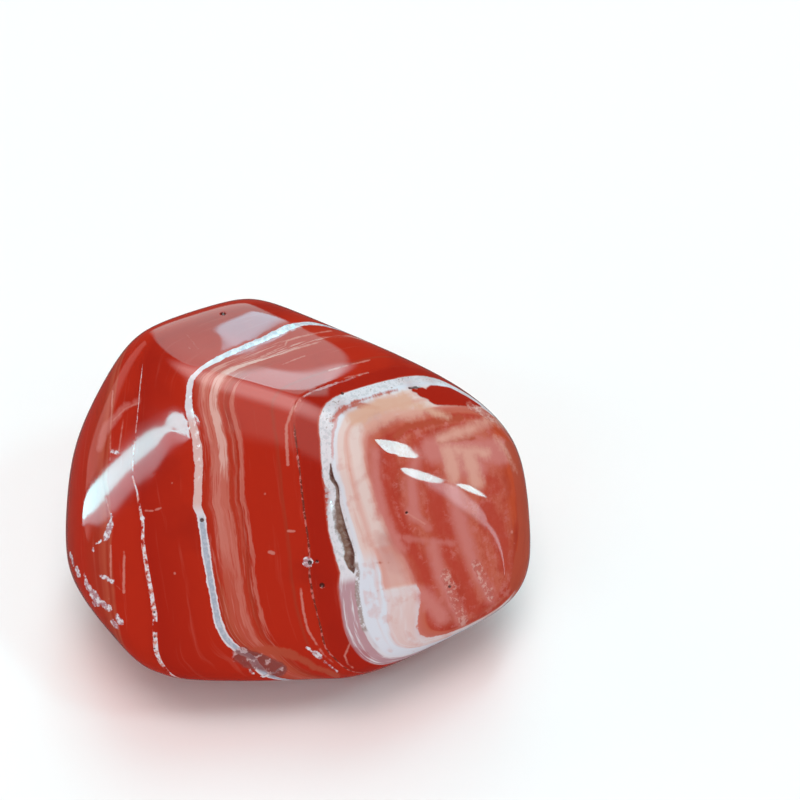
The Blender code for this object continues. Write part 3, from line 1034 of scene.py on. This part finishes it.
# %% Hang the narrow lights and the fill lights
STREAK_TINT = (0.42, 0.93, 1.0)
LAMP_TINT = (0.45, 0.95, 1.0)
VEIL_TINT = (0.7, 0.9, 1.0)
HAZE_TINT = (1.0, 0.65, 0.6)
FILL_TINT = (1.0, 0.88, 0.88)
STREAK_RADIANCE = 19.0
ARC_RADIANCE = 5.0

# The left streak and the veil around it share one path of headings and tilts, with a size at each corner.
LEFT_PATH = [
    (169.6, -8.8), (171.0, -6.6), (173.5, -2.6), (177.0, 2.6), (180.0, 7.0), (184.8, 13.8), (189.8, 20.1),
    (195.1, 25.9), (201.0, 31.3), (208.7, 36.9), (217.2, 41.7), (226.2, 46.1), (234.5, 48.5), (241.0, 49.7),
    (246.0, 50.6),
]
LEFT_STREAK_SIZES = (0.2, 0.48, 0.54, 0.56, 0.52, 0.48, 0.46, 0.46, 0.48, 0.5, 0.5, 0.5, 0.48, 0.42, 0.15)
LEFT_VEIL_SIZES = (0.3, 0.42, 0.46, 0.5, 0.54, 0.57, 0.6, 0.62, 0.65, 0.7, 0.8, 0.86, 0.8, 0.6, 0.3)
left_streak = [(*corner, size) for corner, size in zip(LEFT_PATH, LEFT_STREAK_SIZES)]
left_veil = [(*corner, size) for corner, size in zip(LEFT_PATH, LEFT_VEIL_SIZES)]

# The other paths have heading, tilt and size at each corner.
LEFT_HAZE = [(172, -6, 0.6), (168, 10, 1.0), (158, 24, 1.0), (135, 36, 0.8)]
RIGHT_STREAK = [
    (-20.7, 42.0, 0.2), (-21.2, 41.2, 1.4), (-22.7, 39.3, 1.6), (-23.8, 37.8, 1.3), (-24.6, 36.6, 0.3),
]
RIGHT_DASH = [(-22.3, 35.7, 0.2), (-22.3, 34.6, 1.0), (-22.3, 32.0, 1.0), (-20.8, 27.6, 0.1)]
RIGHT_VEIL = [
    (-24.2, 37.0, 1.0), (-25.6, 35.0, 1.6), (-26.9, 33.0, 1.9), (-27.8, 30.7, 2.0), (-27.2, 27.8, 1.8),
    (-25.6, 23.6, 0.9),
]
RIGHT_ARC = [
    (-26.6, 25.0, 0.3), (-24.3, 21.3, 0.34), (-19.8, 14.3, 0.3), (-17.0, 8.8, 0.26), (-16.0, 3.0, 0.15),
]
RIGHT_LAMP = [  # tilt, and the headings the patch runs between
    (53.2, -3.0, -1.4), (52.0, -6.0, 1.0), (50.5, -10.0, 3.0), (49.0, -12.0, 4.0), (47.5, -12.0, 4.0),
    (46.5, -10.5, 2.0), (46.0, -11.0, 0.0), (45.4, -12.0, -3.0), (44.8, -11.0, -5.0), (44.2, -10.5, -7.0),
    (43.8, -10.0, -9.0),
]

# Rows across a ribbon: how many degrees to the side, and the radiance there.
STREAK_ROWS = [(-1, STREAK_RADIANCE), (1, STREAK_RADIANCE)]
ARC_ROWS = [(-1, ARC_RADIANCE), (1, ARC_RADIANCE)]
LEFT_VEIL_ROWS = [(-1.9, 0.0), (-1.0, 1.0), (0.5, 5.0), (1.4, 5.0), (2.1, 4.0), (2.6, 0.0)]
HAZE_ROWS = [(-12, 0.0), (-6, 1.6), (6, 1.6), (12, 0.0)]
RIGHT_VEIL_ROWS = [(-1, 0.5), (-0.5, 4.5), (0.5, 4.5), (1, 0.5)]

light_ribbon("left_streak", left_streak, STREAK_ROWS, STREAK_TINT)
light_ribbon("left_veil", left_veil, LEFT_VEIL_ROWS, VEIL_TINT, LIGHT_DISTANCE + BEHIND)
light_ribbon("left_haze", LEFT_HAZE, HAZE_ROWS, HAZE_TINT, LIGHT_DISTANCE + 3 * BEHIND)
light_patch("right_lamp", RIGHT_LAMP, STREAK_RADIANCE, LAMP_TINT)
light_ribbon("right_streak", RIGHT_STREAK, STREAK_ROWS, LAMP_TINT)
light_ribbon("right_dash", RIGHT_DASH, STREAK_ROWS, LAMP_TINT, LIGHT_DISTANCE - BEHIND)
light_ribbon("right_veil", RIGHT_VEIL, RIGHT_VEIL_ROWS, VEIL_TINT, LIGHT_DISTANCE + BEHIND)
light_ribbon("right_arc", RIGHT_ARC, ARC_ROWS, VEIL_TINT, LIGHT_DISTANCE + BEHIND)
soft_box("left_fill", (-132, 4), (-132, 26), 40.0, 0.9, FILL_TINT)
soft_box("right_fill", (-66, 3), (-66, 22), 34.0, 1.1, FILL_TINT)

bpy.context.scene.view_settings.view_transform = "Standard"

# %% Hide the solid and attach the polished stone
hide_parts("stone")
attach(stone, "root")
